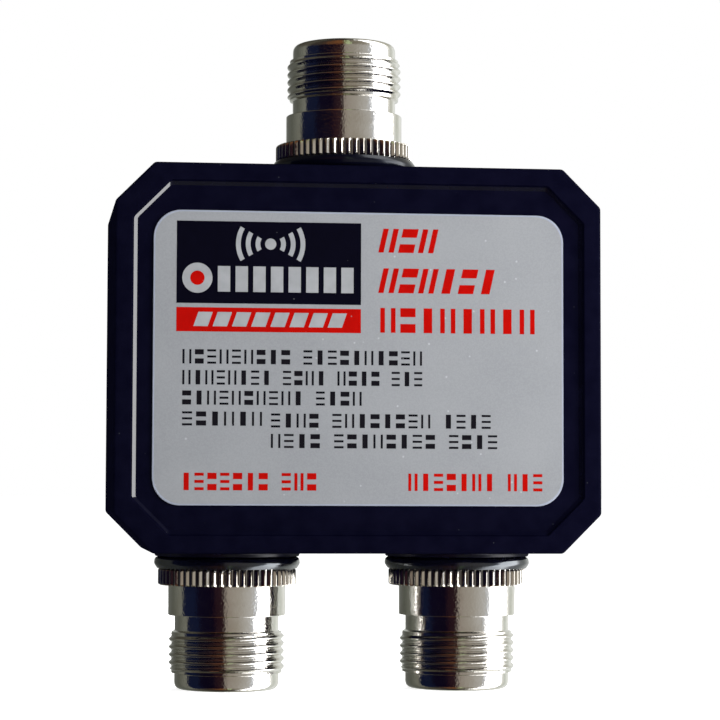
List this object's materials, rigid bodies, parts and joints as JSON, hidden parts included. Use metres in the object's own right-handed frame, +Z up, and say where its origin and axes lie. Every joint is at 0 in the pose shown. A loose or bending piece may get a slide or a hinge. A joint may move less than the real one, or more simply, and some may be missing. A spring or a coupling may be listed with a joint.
{
  "type": "rf duplexer",
  "caption": "Black eight-sided die-cast radio duplexer box with a threaded coaxial jack on top, a pair of them below and a silver label on its sunken front.",
  "frame": {"origin": "on the ground, under the middle of the housing, where the lower jacks stand", "axes": "+Z up through the top jack, -Y out of the labelled front, +X to the right seen from the front"},
  "size_m": [0.0652, 0.03, 0.0893],
  "materials": {
    "casting": "satin blue-black coat on a casting",
    "label": "silver-grey printed film",
    "jack_plating": "bright nickel plate on turned brass",
    "ring_rubber": "glossy black rubber",
    "spring_steel": "plain spring steel",
    "zinc_steel": "zinc-plated steel",
    "insulator": "white waxy plastic",
    "contact_gold": "gold flash on brass",
    "tinned_wire": "tinned copper wire",
    "black_steel": "blackened steel",
    "board": "green glass-epoxy laminate",
    "tinplate": "bright tinplate",
    "copper": "enamelled copper wire",
    "capacitor_coat": "brown dipped coat on a ceramic disc"
  },
  "bodies": {
    "root": {"housing": "casting", "back_cover": "casting", "front_label": "label", "common_jack_shell": "jack_plating", "common_sealing_ring": "ring_rubber", "common_lock_washer": "spring_steel", "common_hex_nut": "zinc_steel", "common_insulator": "insulator", "common_centre_contact": "contact_gold", "common_lead_wire": "tinned_wire", "low_band_jack_shell": "jack_plating", "low_band_sealing_ring": "ring_rubber", "low_band_lock_washer": "spring_steel", "low_band_hex_nut": "zinc_steel", "low_band_insulator": "insulator", "low_band_centre_contact": "contact_gold", "low_band_lead_wire": "tinned_wire", "high_band_jack_shell": "jack_plating", "high_band_sealing_ring": "ring_rubber", "high_band_lock_washer": "spring_steel", "high_band_hex_nut": "zinc_steel", "high_band_insulator": "insulator", "high_band_centre_contact": "contact_gold", "high_band_lead_wire": "tinned_wire", "cover_screw_upper_left": "black_steel", "board_screw_upper_left": "zinc_steel", "cover_screw_upper_right": "black_steel", "board_screw_upper_right": "zinc_steel", "cover_screw_lower_right": "black_steel", "board_screw_lower_right": "zinc_steel", "cover_screw_lower_left": "black_steel", "board_screw_lower_left": "zinc_steel", "circuit_board": "board", "screen_wall": "tinplate", "low_band_coil_1": "copper", "low_band_coil_2": "copper", "low_band_coil_3": "copper", "high_band_coil_1": "copper", "high_band_coil_2": "copper", "capacitor_1": "capacitor_coat", "capacitor_2": "capacitor_coat", "capacitor_3": "capacitor_coat", "capacitor_4": "capacitor_coat", "capacitor_5": "capacitor_coat"}
  },
  "joints": []
}
